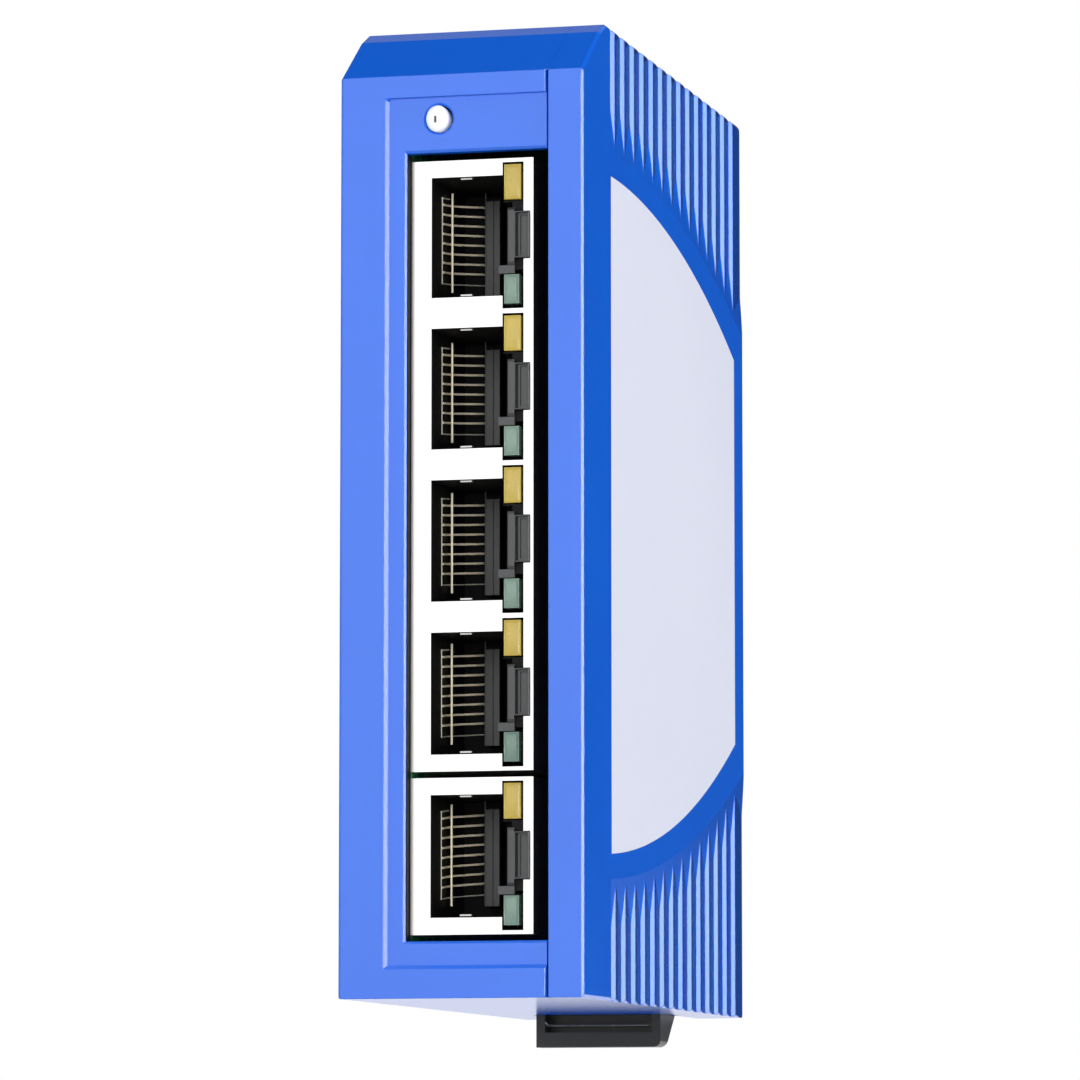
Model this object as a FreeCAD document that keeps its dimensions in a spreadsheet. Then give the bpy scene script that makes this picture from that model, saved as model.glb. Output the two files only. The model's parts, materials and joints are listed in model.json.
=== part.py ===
import FreeCAD, Part
import math
import os
import re
import Sketcher

# Five-port rail-mounted Ethernet switch, in millimetres.
# The front with the sockets faces -Y, the rail is behind at +Y, and +Z is up.
# The origin is the centre of the seat that lies flat on the mounting rail.

SIZES = {
    # housing
    "case_width": 26.0,
    "case_height": 102.0,
    "case_depth": 76.0,
    "cover_width": 3.7,
    "wall": 1.8,
    "front_wall": 1.7,
    "slope_drop": 6.4,
    "slope_run": 9.2,
    "facet_ahead": 1.8,
    "facet_back": 0.9,
    "side_edge_radius": 0.35,
    "cover_edge_bevel": 0.28,
    "back_edge_radius": 1.2,
    "parting_bevel": 0.2,
    "parting_gap": 0.25,
    "parting_gap_depth": 1.3,
    # sunk panel, window and indicator hole in the front
    "panel_left": 4.8,
    "panel_bottom": 3.0,
    "panel_top": 8.7,
    "panel_depth": 0.4,
    "panel_draft": 45.0,
    "window_left": 7.05,
    "window_gap": 0.7,
    "window_bevel": 0.25,
    "indicator_left": 10.5,
    "indicator_top": 11.0,
    "indicator_radius": 1.45,
    "indicator_bevel": 0.2,
    "indicator_clearance": 0.05,
    "lamp_holder_margin": 0.3,
    # side label and flutes
    "label_front": 12.0,
    "label_back": 70.5,
    "label_front_top": 35.2,
    "label_back_top": 23.5,
    "label_front_bottom": -35.8,
    "label_back_bottom": -20.3,
    "label_thickness": 0.15,
    "upper_arc_peak": 13.0,
    "lower_arc_peak": 2.0,
    "flute_count": 14,
    "flute_pitch": 4.35,
    "flute_first": 13.9,
    "flute_face": 0.5,
    "flute_depth": 0.45,
    "flute_relief": 0.05,
    "flute_lead": 1.8,
    "flute_runout": 5.0,
    "flute_gap_front": 2.6,
    "flute_gap_back": 4.8,
    # circuit board
    "board_standoff": 3.8,
    "board_thickness": 1.6,
    "board_gap": 0.6,
    "post_radius": 2.8,
    "screw_radius": 1.2,
    "screw_head_radius": 2.3,
    "screw_head_height": 1.7,
    "screw_bite": 3.4,
    "screw_clearance": 0.05,
    "screw_head_bevel": 0.5,
    "screw_recess_width": 0.7,
    "screw_recess_length": 2.6,
    "board_hole_clearance": 0.2,
    # sockets
    "jack_setback": 1.8,
    "jack_rise": 13.05,
    "jack_depth": 21.0,
    "jack_bottom": 6.55,
    "jack_headroom": 15.2,
    "jack_spacing": 0.65,
    "jack_end": 0.15,
    "shield_thickness": 0.25,
    "port_floor": 2.15,
    "port_width": 7.6,
    "port_height": 12.6,
    "port_depth": 13.0,
    "light_width": 2.25,
    "light_spread": 3.6,
    "light_gap": 0.25,
    "light_depth": 9.0,
    "light_clearance": 0.12,
    "catch_width": 1.0,
    "catch_height": 7.0,
    "catch_depth": 8.0,
    "notch_width": 1.95,
    "notch_height": 5.0,
    "notch_depth": 1.2,
    "comb_width": 1.6,
    "comb_height": 10.5,
    "comb_depth": 1.75,
    "comb_offset": 2.85,
    "lip_height": 0.3,
    "lip_length": 10.6,
    "lip_start": 8.0,
    "lip_depth": 0.4,
    "contact_count": 8,
    "contact_pitch": 1.02,
    "contact_width": 0.34,
    "contact_thickness": 0.26,
    "contact_start": 3.9,
    "contact_bend": 7.5,
    "contact_lift": 0.55,
    "contact_gap": 0.05,
    # rail seat, fixed hook and sliding latch
    "rail_height": 35.0,
    "rail_thickness": 1.0,
    "rail_clearance": 0.2,
    "hook_clearance": 0.3,
    "hook_thickness": 2.0,
    "hook_height": 2.4,
    "hook_bite": 2.5,
    "hook_width": 14.0,
    "seat_pad": 0.6,
    "seat_height": 29.0,
    "seat_width": 17.0,
    "latch_width": 14.2,
    "latch_front": 18.1,
    "latch_thickness": 7.0,
    "latch_clearance": 0.25,
    "latch_drop": 3.6,
    "latch_tip": 2.8,
    "latch_arm": 6.5,
    "latch_stop_gap": 0.1,
    "tongue_width": 0.9,
    "tongue_thickness": 2.0,
    "tongue_clearance": 0.15,
    "bay_wall": 1.5,
    "bay_headroom": 0.7,
    "bay_side": 9.2,
    "blade_slot_width": 12.2,
    "blade_slot_height": 1.95,
    "blade_slot_depth": 2.5,
    "blade_ridge": 0.3,
    "spring_window_bottom": 5.0,
    "spring_window_top": 21.0,
    "spring_window_width": 5.2,
    "peg_height": 3.0,
    "peg_clearance": 0.4,
    "spring_radius": 1.7,
    "spring_wire": 0.3,
    "spring_clearance": 0.05,
    "spring_turns": 7,
    "spring_steps": 12,
    # power header in the roof
    "header_centre": 46.0,
    "header_length": 13.4,
    "header_rise": 8.6,
    "header_height": 9.0,
    "header_wall": 0.8,
    "header_floor": 1.2,
    "header_clearance": 0.3,
    "header_pin_pitch": 3.81,
    "header_pin_size": 0.9,
    "header_pin_length": 5.0,
    # transformers behind the sockets
    "transformer_gap": 0.8,
    "transformer_depth": 5.8,
    "transformer_height": 12.7,
    "transformer_rise": 6.4,
    "transformer_bevel": 0.4,
    # chips and power supply; a drop is measured from the roof, an inset from the rear of the board
    "chip_column": 37.0,
    "chip_bevel": 0.3,
    "switch_chip_side": 14.0,
    "switch_chip_rise": 1.4,
    "switch_chip_drop": 49.0,
    "crystal_depth": 4.7,
    "crystal_height": 11.4,
    "crystal_rise": 3.6,
    "crystal_drop": 63.0,
    "inductor_side": 10.0,
    "inductor_rise": 4.6,
    "inductor_bevel": 0.8,
    "inductor_inset": 11.0,
    "inductor_drop": 37.0,
    "regulator_depth": 4.0,
    "regulator_height": 5.0,
    "regulator_rise": 1.5,
    "regulator_inset": 24.0,
    "regulator_drop": 31.0,
    "input_part_drop": 13.0,
    "fuse_depth": 3.0,
    "fuse_height": 7.4,
    "fuse_rise": 2.6,
    "fuse_inset": 13.0,
    "diode_depth": 3.6,
    "diode_height": 5.2,
    "diode_rise": 2.3,
    "diode_inset": 17.5,
    "capacitor_radius": 4.0,
    "capacitor_rise": 10.5,
    "capacitor_bevel": 0.6,
    "capacitor_inset": 10.0,
    "capacitor_drop": 24.0,
}

doc = FreeCAD.newDocument("rail_switch")
sheet = doc.addObject("Spreadsheet::Sheet", "size")
for row, (alias, amount) in enumerate(SIZES.items(), 1):
    sheet.set(f"A{row}", alias)
    sheet.set(f"B{row}", str(amount))
    sheet.setAlias(f"B{row}", alias)
doc.recompute()

# Places that many pieces share, as formulas of the sheet.
LEFT = "(-case_width / 2)"
RIGHT = "(case_width / 2)"
PARTING = "(case_width / 2 - cover_width)"
BOTTOM = "(-case_height / 2)"
TOP = "(case_height / 2)"
BACK = "(-seat_pad)"
FRONT = "(-seat_pad - case_depth)"
SLOPE_FOOT = f"({TOP} - slope_drop)"
BOARD_BACK = f"({LEFT} + wall + board_standoff)"
BOARD_FACE = f"({BOARD_BACK} + board_thickness)"
JACK_FRONT = f"({FRONT} + jack_setback)"
PORT_PITCH = "((case_height - jack_bottom - jack_headroom - jack_spacing - 4 * jack_end) / 5)"
JACK_MARGIN = f"({PORT_PITCH} / 2 + jack_end)"
LIGHT_REACH = f"({PORT_PITCH} / 2 - light_gap)"
PORT_LEFT = f"({BOARD_FACE} + port_floor)"
PORT_RIGHT = f"({PORT_LEFT} + port_width)"
LIGHT_RIGHT = f"({PORT_RIGHT} + light_width)"
SINGLE_BOTTOM = f"({BOTTOM} + jack_bottom)"
SINGLE_PORT = f"({SINGLE_BOTTOM} + {JACK_MARGIN})"
QUAD_BOTTOM = f"({SINGLE_BOTTOM} + 2 * {JACK_MARGIN} + jack_spacing)"
QUAD_PORT = f"({QUAD_BOTTOM} + {JACK_MARGIN})"
QUAD_TOP = f"({QUAD_BOTTOM} + 2 * {JACK_MARGIN} + 3 * {PORT_PITCH})"
RAIL_EDGE = "(rail_height / 2)"
HOOK_INNER = "(rail_thickness + hook_clearance)"
HOOK_OUTER = "(rail_thickness + hook_clearance + hook_thickness)"
LATCH_TOP = f"(-{RAIL_EDGE} - rail_clearance)"
BAY_TOP = f"({LATCH_TOP} + bay_headroom)"
BAY_FRONT = "(-latch_front - latch_clearance)"
BAY_HALF = "(latch_width / 2 + latch_clearance)"

# Heights of the five sockets, from the top one down.
PORTS = [f"({QUAD_PORT} + {above} * {PORT_PITCH})" for above in (3, 2, 1, 0)] + [SINGLE_PORT]

parts = []


def bound(formula):
    """The formula with each alias written as a cell of the sheet."""
    return re.sub(r"[a-z][a-z_]+", lambda word: "size." + word[0] if word[0] in SIZES else word[0],
                  str(formula))


def number(formula):
    """The value that a formula of the sheet has now."""
    return float(sheet.evalExpression(bound(formula)))


def bind(thing, slot, formula):
    thing.setExpression(slot, bound(formula))


def keep(thing, label):
    """Name a finished sub-part and put it on the list of files."""
    thing.Label = label
    parts.append(thing)
    return thing


def new_body(name):
    return doc.addObject("PartDesign::Body", name)


def attach(sketch, body, plane, place):
    """Put a sketch on one of its body's origin planes, moved to the given place along its axis."""
    origin_plane = next(f for f in body.Origin.OriginFeatures if f.Role == plane + "_Plane")
    sketch.AttachmentSupport = [(origin_plane, "")]
    sketch.MapMode = "FlatFace"
    bind(sketch, "AttachmentOffset.Base.z", f"-({place})" if plane == "XZ" else place)


def fix_point(sketch, edge, end, corner):
    """Tie one end of an edge to its two coordinates."""
    for kind, formula in zip(("DistanceX", "DistanceY"), corner):
        index = sketch.addConstraint(Sketcher.Constraint(kind, -1, 1, edge, end, number(formula)))
        bind(sketch, f"Constraints[{index}]", formula)


def draw_polygon(sketch, corners):
    """A closed outline of straight edges through corners given as pairs of formulas."""
    first = sketch.GeometryCount
    places = [FreeCAD.Vector(number(u), number(v), 0) for u, v in corners]
    count = len(places)
    for index in range(count):
        sketch.addGeometry(Part.LineSegment(places[index], places[(index + 1) % count]))
    for index, corner in enumerate(corners):
        following = first + (index + 1) % count
        sketch.addConstraint(Sketcher.Constraint("Coincident", first + index, 2, following, 1))
        fix_point(sketch, first + index, 1, corner)


def draw_rectangle(sketch, low, high):
    draw_polygon(sketch, [(low[0], low[1]), (high[0], low[1]), (high[0], high[1]), (low[0], high[1])])


def draw_circle(sketch, centre, radius):
    place = FreeCAD.Vector(number(centre[0]), number(centre[1]), 0)
    edge = sketch.addGeometry(Part.Circle(place, FreeCAD.Vector(0, 0, 1), number(radius)))
    fix_point(sketch, edge, 3, centre)
    index = sketch.addConstraint(Sketcher.Constraint("Radius", edge, number(radius)))
    bind(sketch, f"Constraints[{index}]", radius)


def new_sketch(body, name, plane, place):
    sketch = body.newObject("Sketcher::SketchObject", name)
    attach(sketch, body, plane, place)
    return sketch


def pad(body, sketch, length, backwards=False, both_ways=False):
    """Grow a sketch along its plane's normal (+X, -Y or +Z), or the other way."""
    feature = body.newObject("PartDesign::Pad", sketch.Name + "_pad")
    feature.Profile = sketch
    feature.Reversed = backwards
    feature.Midplane = both_ways
    bind(feature, "Length", length)
    return feature


def pocket(body, sketch, depth, along_normal=False, draft=None):
    """Cut a sketch against its plane's normal, or along it."""
    feature = body.newObject("PartDesign::Pocket", sketch.Name + "_cut")
    feature.Profile = sketch
    feature.Reversed = along_normal
    bind(feature, "Length", depth)
    if draft:
        bind(feature, "TaperAngle", f"-({draft})")
    return feature


def box_pad(body, name, plane, place, low, high, length, backwards=False):
    sketch = new_sketch(body, name, plane, place)
    draw_rectangle(sketch, low, high)
    return pad(body, sketch, length, backwards)


def box_cut(body, name, plane, place, low, high, depth, along_normal=False, draft=None):
    sketch = new_sketch(body, name, plane, place)
    draw_rectangle(sketch, low, high)
    return pocket(body, sketch, depth, along_normal, draft)


def dress(body, kind, amount, chosen):
    """Round or bevel the edges of the body for which chosen(edge) is true."""
    doc.recompute()
    base = body.Tip
    names = [f"Edge{i}" for i, edge in enumerate(base.Shape.Edges, 1) if chosen(edge)]
    feature = body.newObject("PartDesign::" + kind, f"{body.Name}_{kind}")
    feature.Base = (base, names)
    bind(feature, "Radius" if kind == "Fillet" else "Size", amount)
    return feature


def row_of(body, originals, sketch, spacing, count):
    """Repeat features upwards in a row."""
    doc.recompute()
    pattern = body.newObject("PartDesign::LinearPattern", body.Name + "_row")
    pattern.Originals = originals
    pattern.Direction = (sketch, ["V_Axis"])
    bind(pattern, "Length", f"({spacing}) * ({count} - 1)")
    bind(pattern, "Occurrences", count)
    body.Tip = pattern
    return pattern


def new_box(name, low, span):
    """A block from its low corner and its three lengths."""
    block = doc.addObject("Part::Box", name)
    for slot, formula in zip(("Length", "Width", "Height"), span):
        bind(block, slot, formula)
    for axis, formula in zip("xyz", low):
        bind(block, f"Placement.Base.{axis}", formula)
    return block


def cut(name, base, tool):
    result = doc.addObject("Part::Cut", name)
    result.Base = base
    result.Tool = tool
    return result


def at_x(edge, place):
    return abs(edge.BoundBox.XMin - place) < 0.01 and abs(edge.BoundBox.XMax - place) < 0.01


# ---------------------------------------------------------------- housing

def side_outline(sketch, wall="0", front="0"):
    """The housing seen from the side, drawn inwards by a wall and a front wall.

    A facet takes off the outer corner between the front slope and the roof.
    """
    lean = "(slope_drop / slope_run)"
    stretch = f"sqrt(1 + {lean} * {lean})"
    ridge = f"{FRONT} + slope_run + {wall} * ({stretch} - 1) / {lean}"
    corner = [(ridge, f"{TOP} - {wall}")]
    if wall == "0":
        corner = [(f"{ridge} + facet_back", TOP), (f"{ridge} - facet_ahead", f"{TOP} - facet_ahead * {lean}")]
    draw_polygon(sketch, [
        (f"{FRONT} + {front}", f"{BOTTOM} + {wall}"),
        (f"{BACK} - {wall}", f"{BOTTOM} + {wall}"),
        (f"{BACK} - {wall}", f"{TOP} - {wall}"),
        *corner,
        (f"{FRONT} + {front}", f"{SLOPE_FOOT} + {front} * {lean} - {wall} * {stretch}"),
    ])


def post_places():
    """Side-view places of the four board posts: behind the sockets, in the corners of the board."""
    return {
        "top_front": (f"{JACK_FRONT} + jack_depth + 2 * post_radius", f"{TOP} - wall - 2 * post_radius"),
        "top_back": (f"{BACK} - wall - 2 * post_radius", f"{TOP} - wall - 2 * post_radius"),
        "middle_back": (f"{BACK} - wall - 2 * post_radius", f"{BAY_TOP} + bay_wall + 2 * post_radius"),
        "bottom_middle": (f"{BAY_FRONT} - bay_wall - 3 * post_radius", f"{BOTTOM} + wall + 2 * post_radius"),
    }


def make_shell():
    """The main moulding: left wall, front, roof, floor, back, latch bay and rail hook."""
    body = new_body("shell")
    outline = new_sketch(body, "shell_outline", "YZ", LEFT)
    side_outline(outline)
    pad(body, outline, "case_width - cover_width")
    dress(body, "Fillet", "side_edge_radius", lambda edge: at_x(edge, number(LEFT)))
    hollow = new_sketch(body, "shell_hollow", "YZ", PARTING)
    side_outline(hollow, "wall", "front_wall")
    pocket(body, hollow, "case_width - cover_width - wall")
    # sunk front panel, open towards the cover, with a drafted side and foot and an upright head
    box_cut(body, "front_panel", "XZ", FRONT,
            (f"{LEFT} + panel_left", f"{BOTTOM} + panel_bottom"),
            (f"{RIGHT} + cover_width", f"{TOP} - panel_top"), "panel_depth", draft="panel_draft")
    box_cut(body, "panel_head", "XZ", FRONT,
            (f"{LEFT} + panel_left + panel_depth", f"{TOP} - panel_top - 2 * panel_depth"),
            (f"{RIGHT} + cover_width", f"{TOP} - panel_top"), "panel_depth")
    panel = f"{FRONT} + panel_depth"
    # narrow gap with a bevelled rim between the front and the cover
    seam = (f"{PARTING} - parting_gap", f"{BOTTOM} - wall")
    box_cut(body, "seam_rim", "XZ", FRONT, (f"{seam[0]} - parting_bevel", f"{seam[1]} - parting_bevel"),
            (RIGHT, f"{SLOPE_FOOT} + parting_bevel"), "parting_bevel", draft="45")
    box_cut(body, "seam_gap", "XZ", FRONT, seam, (RIGHT, SLOPE_FOOT), "parting_gap_depth")
    # socket window with a bevelled rim, open towards the cover
    low = (f"{LEFT} + window_left", f"{SINGLE_BOTTOM} - window_gap")
    high = (f"{RIGHT} + cover_width", f"{QUAD_TOP} + window_gap")
    box_cut(body, "window_rim", "XZ", panel,
            (f"{low[0]} - window_bevel", f"{low[1]} - window_bevel"),
            (high[0], f"{high[1]} + window_bevel"), "window_bevel", draft="45")
    box_cut(body, "window", "XZ", panel, low, high, "front_wall")
    # indicator hole with a bevelled rim
    place = (f"{LEFT} + indicator_left", f"{TOP} - indicator_top")
    holes = (("indicator_rim", "indicator_radius + indicator_bevel", "indicator_bevel", "45"),
             ("indicator_hole", "indicator_radius", "front_wall", None))
    for name, radius, depth, draft in holes:
        sketch = new_sketch(body, name, "XZ", panel)
        draw_circle(sketch, place, radius)
        pocket(body, sketch, depth, draft=draft)
    # opening in the roof over the power header
    half = "(header_length / 2 + header_clearance)"
    box_cut(body, "roof_opening", "XY", TOP,
            (f"{BOARD_FACE} - header_clearance", f"{FRONT} + header_centre - {half}"),
            (f"{BOARD_FACE} + header_rise + header_clearance", f"{FRONT} + header_centre + {half}"), "2 * wall")
    add_rail_features(body)
    add_board_posts(body)
    return keep(body, "housing_shell")


def add_rail_features(body):
    """The rail seat, the fixed upper hook and the bay in which the latch slides."""
    box_pad(body, "rail_seat", "XZ", BACK, ("-seat_width / 2", "-seat_height / 2"),
            ("seat_width / 2", "seat_height / 2"), "seat_pad", backwards=True)
    hook = new_sketch(body, "upper_hook", "YZ", "0")
    under = f"{RAIL_EDGE} + rail_clearance"
    tip = f"{RAIL_EDGE} - hook_bite"
    draw_polygon(hook, [
        (BACK, under),
        (HOOK_INNER, under),
        (HOOK_INNER, tip),
        (f"{HOOK_OUTER} - hook_thickness / 3", tip),
        (HOOK_OUTER, f"{tip} + hook_thickness / 2"),
        (HOOK_OUTER, f"{under} + hook_height / 2"),
        (f"{HOOK_OUTER} - hook_height / 2", f"{under} + hook_height"),
        (BACK, f"{under} + 2 * hook_height"),
    ])
    pad(body, hook, "hook_width", both_ways=True)
    # bay: a box of walls inside the back, opened to the back and the floor
    box_pad(body, "bay_block", "XZ", f"{BACK} - wall / 2", ("-bay_side", f"{BOTTOM} + wall / 2"),
            ("bay_side", f"{BAY_TOP} + bay_wall"), f"{BACK} - wall / 2 - {BAY_FRONT} + bay_wall")
    box_cut(body, "bay", "XZ", BACK, (f"-{BAY_HALF}", f"{BOTTOM} - wall"),
            (BAY_HALF, BAY_TOP), f"{BACK} - {BAY_FRONT}", along_normal=True)
    groove_half = f"{BAY_HALF} - latch_clearance + tongue_width + tongue_clearance"
    middle = "(-latch_front + latch_thickness / 2)"
    box_cut(body, "tongue_grooves", "XY", f"{BOTTOM} - wall",
            (f"-({groove_half})", f"{middle} - tongue_thickness / 2 - tongue_clearance"),
            (groove_half, f"{middle} + tongue_thickness / 2 + tongue_clearance"),
            f"{BAY_TOP} - {BOTTOM} + wall", along_normal=True)
    # peg that stops the latch and carries its spring
    peg_bottom = f"{BOTTOM} + spring_window_bottom + latch_stop_gap"
    box_pad(body, "peg", "XZ", f"{BAY_FRONT} + latch_thickness - peg_clearance",
            ("-spring_window_width / 2 + peg_clearance", peg_bottom),
            ("spring_window_width / 2 - peg_clearance", f"{peg_bottom} + peg_height"),
            "latch_thickness - peg_clearance + bay_wall / 2")


def add_board_posts(body):
    """Posts on the left wall that carry the circuit board, each with a blind screw hole."""
    for name, place in post_places().items():
        post = new_sketch(body, "post_" + name, "YZ", f"{LEFT} + wall / 2")
        draw_circle(post, place, "post_radius")
        pad(body, post, "board_standoff + wall / 2")
    for name, place in post_places().items():
        hole = new_sketch(body, "post_hole_" + name, "YZ", BOARD_BACK)
        draw_circle(hole, place, "screw_radius + screw_clearance")
        pocket(body, hole, "screw_bite + screw_clearance")


# ---------------------------------------------------------------- side cover

def arc_centre(peak, front, back):
    """Centre height of a circle whose top or bottom is at peak and which passes two points."""
    (front_y, front_z), (back_y, back_z) = front, back
    heights = f"(({front_z}) * ({front_z}) - ({back_z}) * ({back_z}))"
    lengths = f"(({front_y} - {peak}) * ({front_y} - {peak}) - ({back_y} - {peak}) * ({back_y} - {peak}))"
    return f"(({heights} + {lengths}) / (2 * (({front_z}) - ({back_z}))))"


def arc_radius(peak, front, centre):
    length, height = f"({front[0]} - {peak})", f"({front[1]} - {centre})"
    return f"sqrt({length} * {length} + {height} * {height})"


def label_outline(sketch):
    """A tall D: two upright edges joined by a shallow arc above and one below."""
    front = f"({FRONT} + label_front)"
    back = f"({FRONT} + label_back)"
    corners = [(front, "label_front_bottom"), (back, "label_back_bottom"),
               (back, "label_back_top"), (front, "label_front_top")]
    arcs = {0: f"({FRONT} + lower_arc_peak)", 2: f"({FRONT} + upper_arc_peak)"}
    places = [FreeCAD.Vector(number(u), number(v), 0) for u, v in corners]
    for index in range(4):
        start = places[index]
        end = places[(index + 1) % 4]
        if index not in arcs:
            sketch.addGeometry(Part.LineSegment(start, end))
            continue
        level = number(arc_centre(arcs[index], corners[index], corners[(index + 1) % 4]))
        middle = FreeCAD.Vector(number(arcs[index]), level, 0)
        radius = start.distanceToPoint(middle)
        half = (start + end) / 2 - middle
        sketch.addGeometry(Part.Arc(start, middle + half.normalize() * radius, end))
    for index, corner in enumerate(corners):
        following = (index + 1) % 4
        fix_point(sketch, index, 1 if index not in (0, 2) else arc_end(sketch, index, places[index]), corner)
        this_end = 2 if index not in (0, 2) else arc_end(sketch, index, places[following])
        next_start = 1 if following not in (0, 2) else arc_end(sketch, following, places[following])
        sketch.addConstraint(Sketcher.Constraint("Coincident", index, this_end, following, next_start))
    for index, peak in arcs.items():
        constraint = sketch.addConstraint(Sketcher.Constraint("DistanceX", -1, 1, index, 3, number(peak)))
        bind(sketch, f"Constraints[{constraint}]", peak)


def arc_end(sketch, index, place):
    """Which end of a drawn arc lies at a place."""
    return 1 if sketch.getPoint(index, 1).distanceToPoint(place) < 0.001 else 2


def flute_tool(name, low, high, peak, front, back, gap_sign):
    """Saw-tooth cutter for one set of flutes, less a cone, so that each flute runs out to a point."""
    profile = doc.addObject("Sketcher::SketchObject", name + "_teeth")
    bind(profile, "Placement.Base.z", low)
    surface = f"({RIGHT} - flute_relief)"
    valley = f"({RIGHT} - flute_depth)"
    corners = [(f"{RIGHT} + wall", f"{FRONT} + flute_first - flute_face - flute_lead")]
    corners.append((RIGHT, f"{FRONT} + flute_first - flute_face - flute_lead"))
    for index in range(int(number("flute_count"))):
        crest = f"({FRONT} + flute_first + {index} * flute_pitch)"
        corners.append((valley, f"{crest} - flute_face"))
        corners.append((surface, crest))
    corners.append((valley, BACK))
    corners.append((valley, f"{BACK} + wall"))
    corners.append((f"{RIGHT} + wall", f"{BACK} + wall"))
    draw_polygon(profile, corners)
    teeth = doc.addObject("Part::Extrusion", name + "_extrusion")
    teeth.Base = profile
    teeth.DirMode = "Custom"
    teeth.Dir = FreeCAD.Vector(0, 0, 1)
    teeth.Solid = True
    bind(teeth, "LengthFwd", f"{high} - ({low})")
    # the cone grows inwards by the run-out length over the depth of a flute
    front = (front[0], f"({front[1]} + {gap_sign} * flute_gap_front)")
    back = (back[0], f"({back[1]} + {gap_sign} * flute_gap_back)")
    centre = arc_centre(peak, front, back)
    growth = "(flute_runout / flute_depth)"
    cone = doc.addObject("Part::Cone", name + "_cone")
    bind(cone, "Radius1", f"{arc_radius(peak, front, centre)} + {growth} * 2 * flute_depth")
    bind(cone, "Radius2", f"{arc_radius(peak, front, centre)} - {growth} * flute_depth")
    bind(cone, "Height", "3 * flute_depth")
    bind(cone, "Placement.Base.x", f"{RIGHT} - 2 * flute_depth")
    bind(cone, "Placement.Base.y", peak)
    bind(cone, "Placement.Base.z", centre)
    cone.Placement.Rotation = FreeCAD.Rotation(FreeCAD.Vector(0, 1, 0), 90)
    return cut(name, teeth, cone)


def make_cover():
    """The right-hand cover: a shallow tray with lips, a bed for the label and the flutes."""
    body = new_body("cover")
    outline = new_sketch(body, "cover_outline", "YZ", PARTING)
    side_outline(outline)
    pad(body, outline, "cover_width")
    outer, rear = number(RIGHT), number(BACK)
    ahead = rear - number("2 * back_edge_radius")
    dress(body, "Fillet", "back_edge_radius",
          lambda edge: at_x(edge, outer) and edge.BoundBox.YMin > rear - 0.01)
    dress(body, "Chamfer", "cover_edge_bevel", lambda edge: at_x(edge, outer) and edge.BoundBox.YMin < ahead)
    hollow = new_sketch(body, "cover_hollow", "YZ", PARTING)
    side_outline(hollow, "wall", "front_wall")
    pocket(body, hollow, "cover_width - wall", along_normal=True)
    bed = new_sketch(body, "label_bed", "YZ", RIGHT)
    label_outline(bed)
    pocket(body, bed, "label_thickness")
    front = f"({FRONT} + label_front)"
    back = f"({FRONT} + label_back)"
    upper = flute_tool("upper_flutes", "0", f"{TOP} + wall", f"({FRONT} + upper_arc_peak)",
                       (front, "label_front_top"), (back, "label_back_top"), "1")
    lower = flute_tool("lower_flutes", f"{BOTTOM} - wall", "0", f"({FRONT} + lower_arc_peak)",
                       (front, "label_front_bottom"), (back, "label_back_bottom"), "-1")
    return keep(cut("fluted_cover", cut("half_fluted_cover", body, upper), lower), "side_cover")


def make_label():
    body = new_body("label")
    outline = new_sketch(body, "label_shape", "YZ", f"{RIGHT} - label_thickness")
    label_outline(outline)
    pad(body, outline, "label_thickness")
    return keep(body, "side_label")


# ---------------------------------------------------------------- circuit board and sockets

def make_board():
    """The board stands upright beside the left wall, with a corner cut away for the latch bay."""
    body = new_body("board")
    outline = new_sketch(body, "board_outline", "YZ", BOARD_BACK)
    edge = "(wall + board_gap)"
    draw_polygon(outline, [
        (f"{FRONT} + front_wall + board_gap", f"{BOTTOM} + {edge}"),
        (f"{BAY_FRONT} - bay_wall - board_gap", f"{BOTTOM} + {edge}"),
        (f"{BAY_FRONT} - bay_wall - board_gap", f"{BAY_TOP} + bay_wall + board_gap"),
        (f"{BACK} - {edge}", f"{BAY_TOP} + bay_wall + board_gap"),
        (f"{BACK} - {edge}", f"{TOP} - {edge}"),
        (f"{FRONT} + slope_run + {edge}", f"{TOP} - {edge}"),
        (f"{FRONT} + front_wall + board_gap", f"{SLOPE_FOOT} - {edge}"),
    ])
    pad(body, outline, "board_thickness")
    for name, place in post_places().items():
        hole = new_sketch(body, "board_hole_" + name, "YZ", BOARD_FACE)
        draw_circle(hole, place, "screw_radius + board_hole_clearance")
        pocket(body, hole, "2 * board_thickness")
    return keep(body, "main_board")


def make_board_screws():
    """Four pan-head screws that hold the board on its posts."""
    shank = number("screw_bite + board_thickness")
    rise = number("screw_head_height")
    width = number("screw_recess_width")
    length = number("screw_recess_length")
    screws = []
    for place in post_places().values():
        seat = FreeCAD.Vector(number(BOARD_FACE), number(place[0]), number(place[1]))
        along = FreeCAD.Vector(1, 0, 0)
        head = Part.makeCylinder(number("screw_head_radius"), rise, seat, along)
        head = head.makeChamfer(number("screw_head_bevel"), [e for e in head.Edges if at_x(e, seat.x + rise)])
        rod = Part.makeCylinder(number("screw_radius"), shank, seat - along * shank, along)
        head = head.fuse(rod)
        for across, upright in ((width, length), (length, width)):
            recess = Part.makeBox(rise / 2, across, upright)
            recess.translate(seat + FreeCAD.Vector(rise / 2, -across / 2, -upright / 2))
            head = head.cut(recess)
        screws.append(head.removeSplitter())
    group = doc.addObject("Part::Feature", "screws")
    group.Shape = Part.makeCompound(screws)
    return keep(group, "board_screws")


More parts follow.
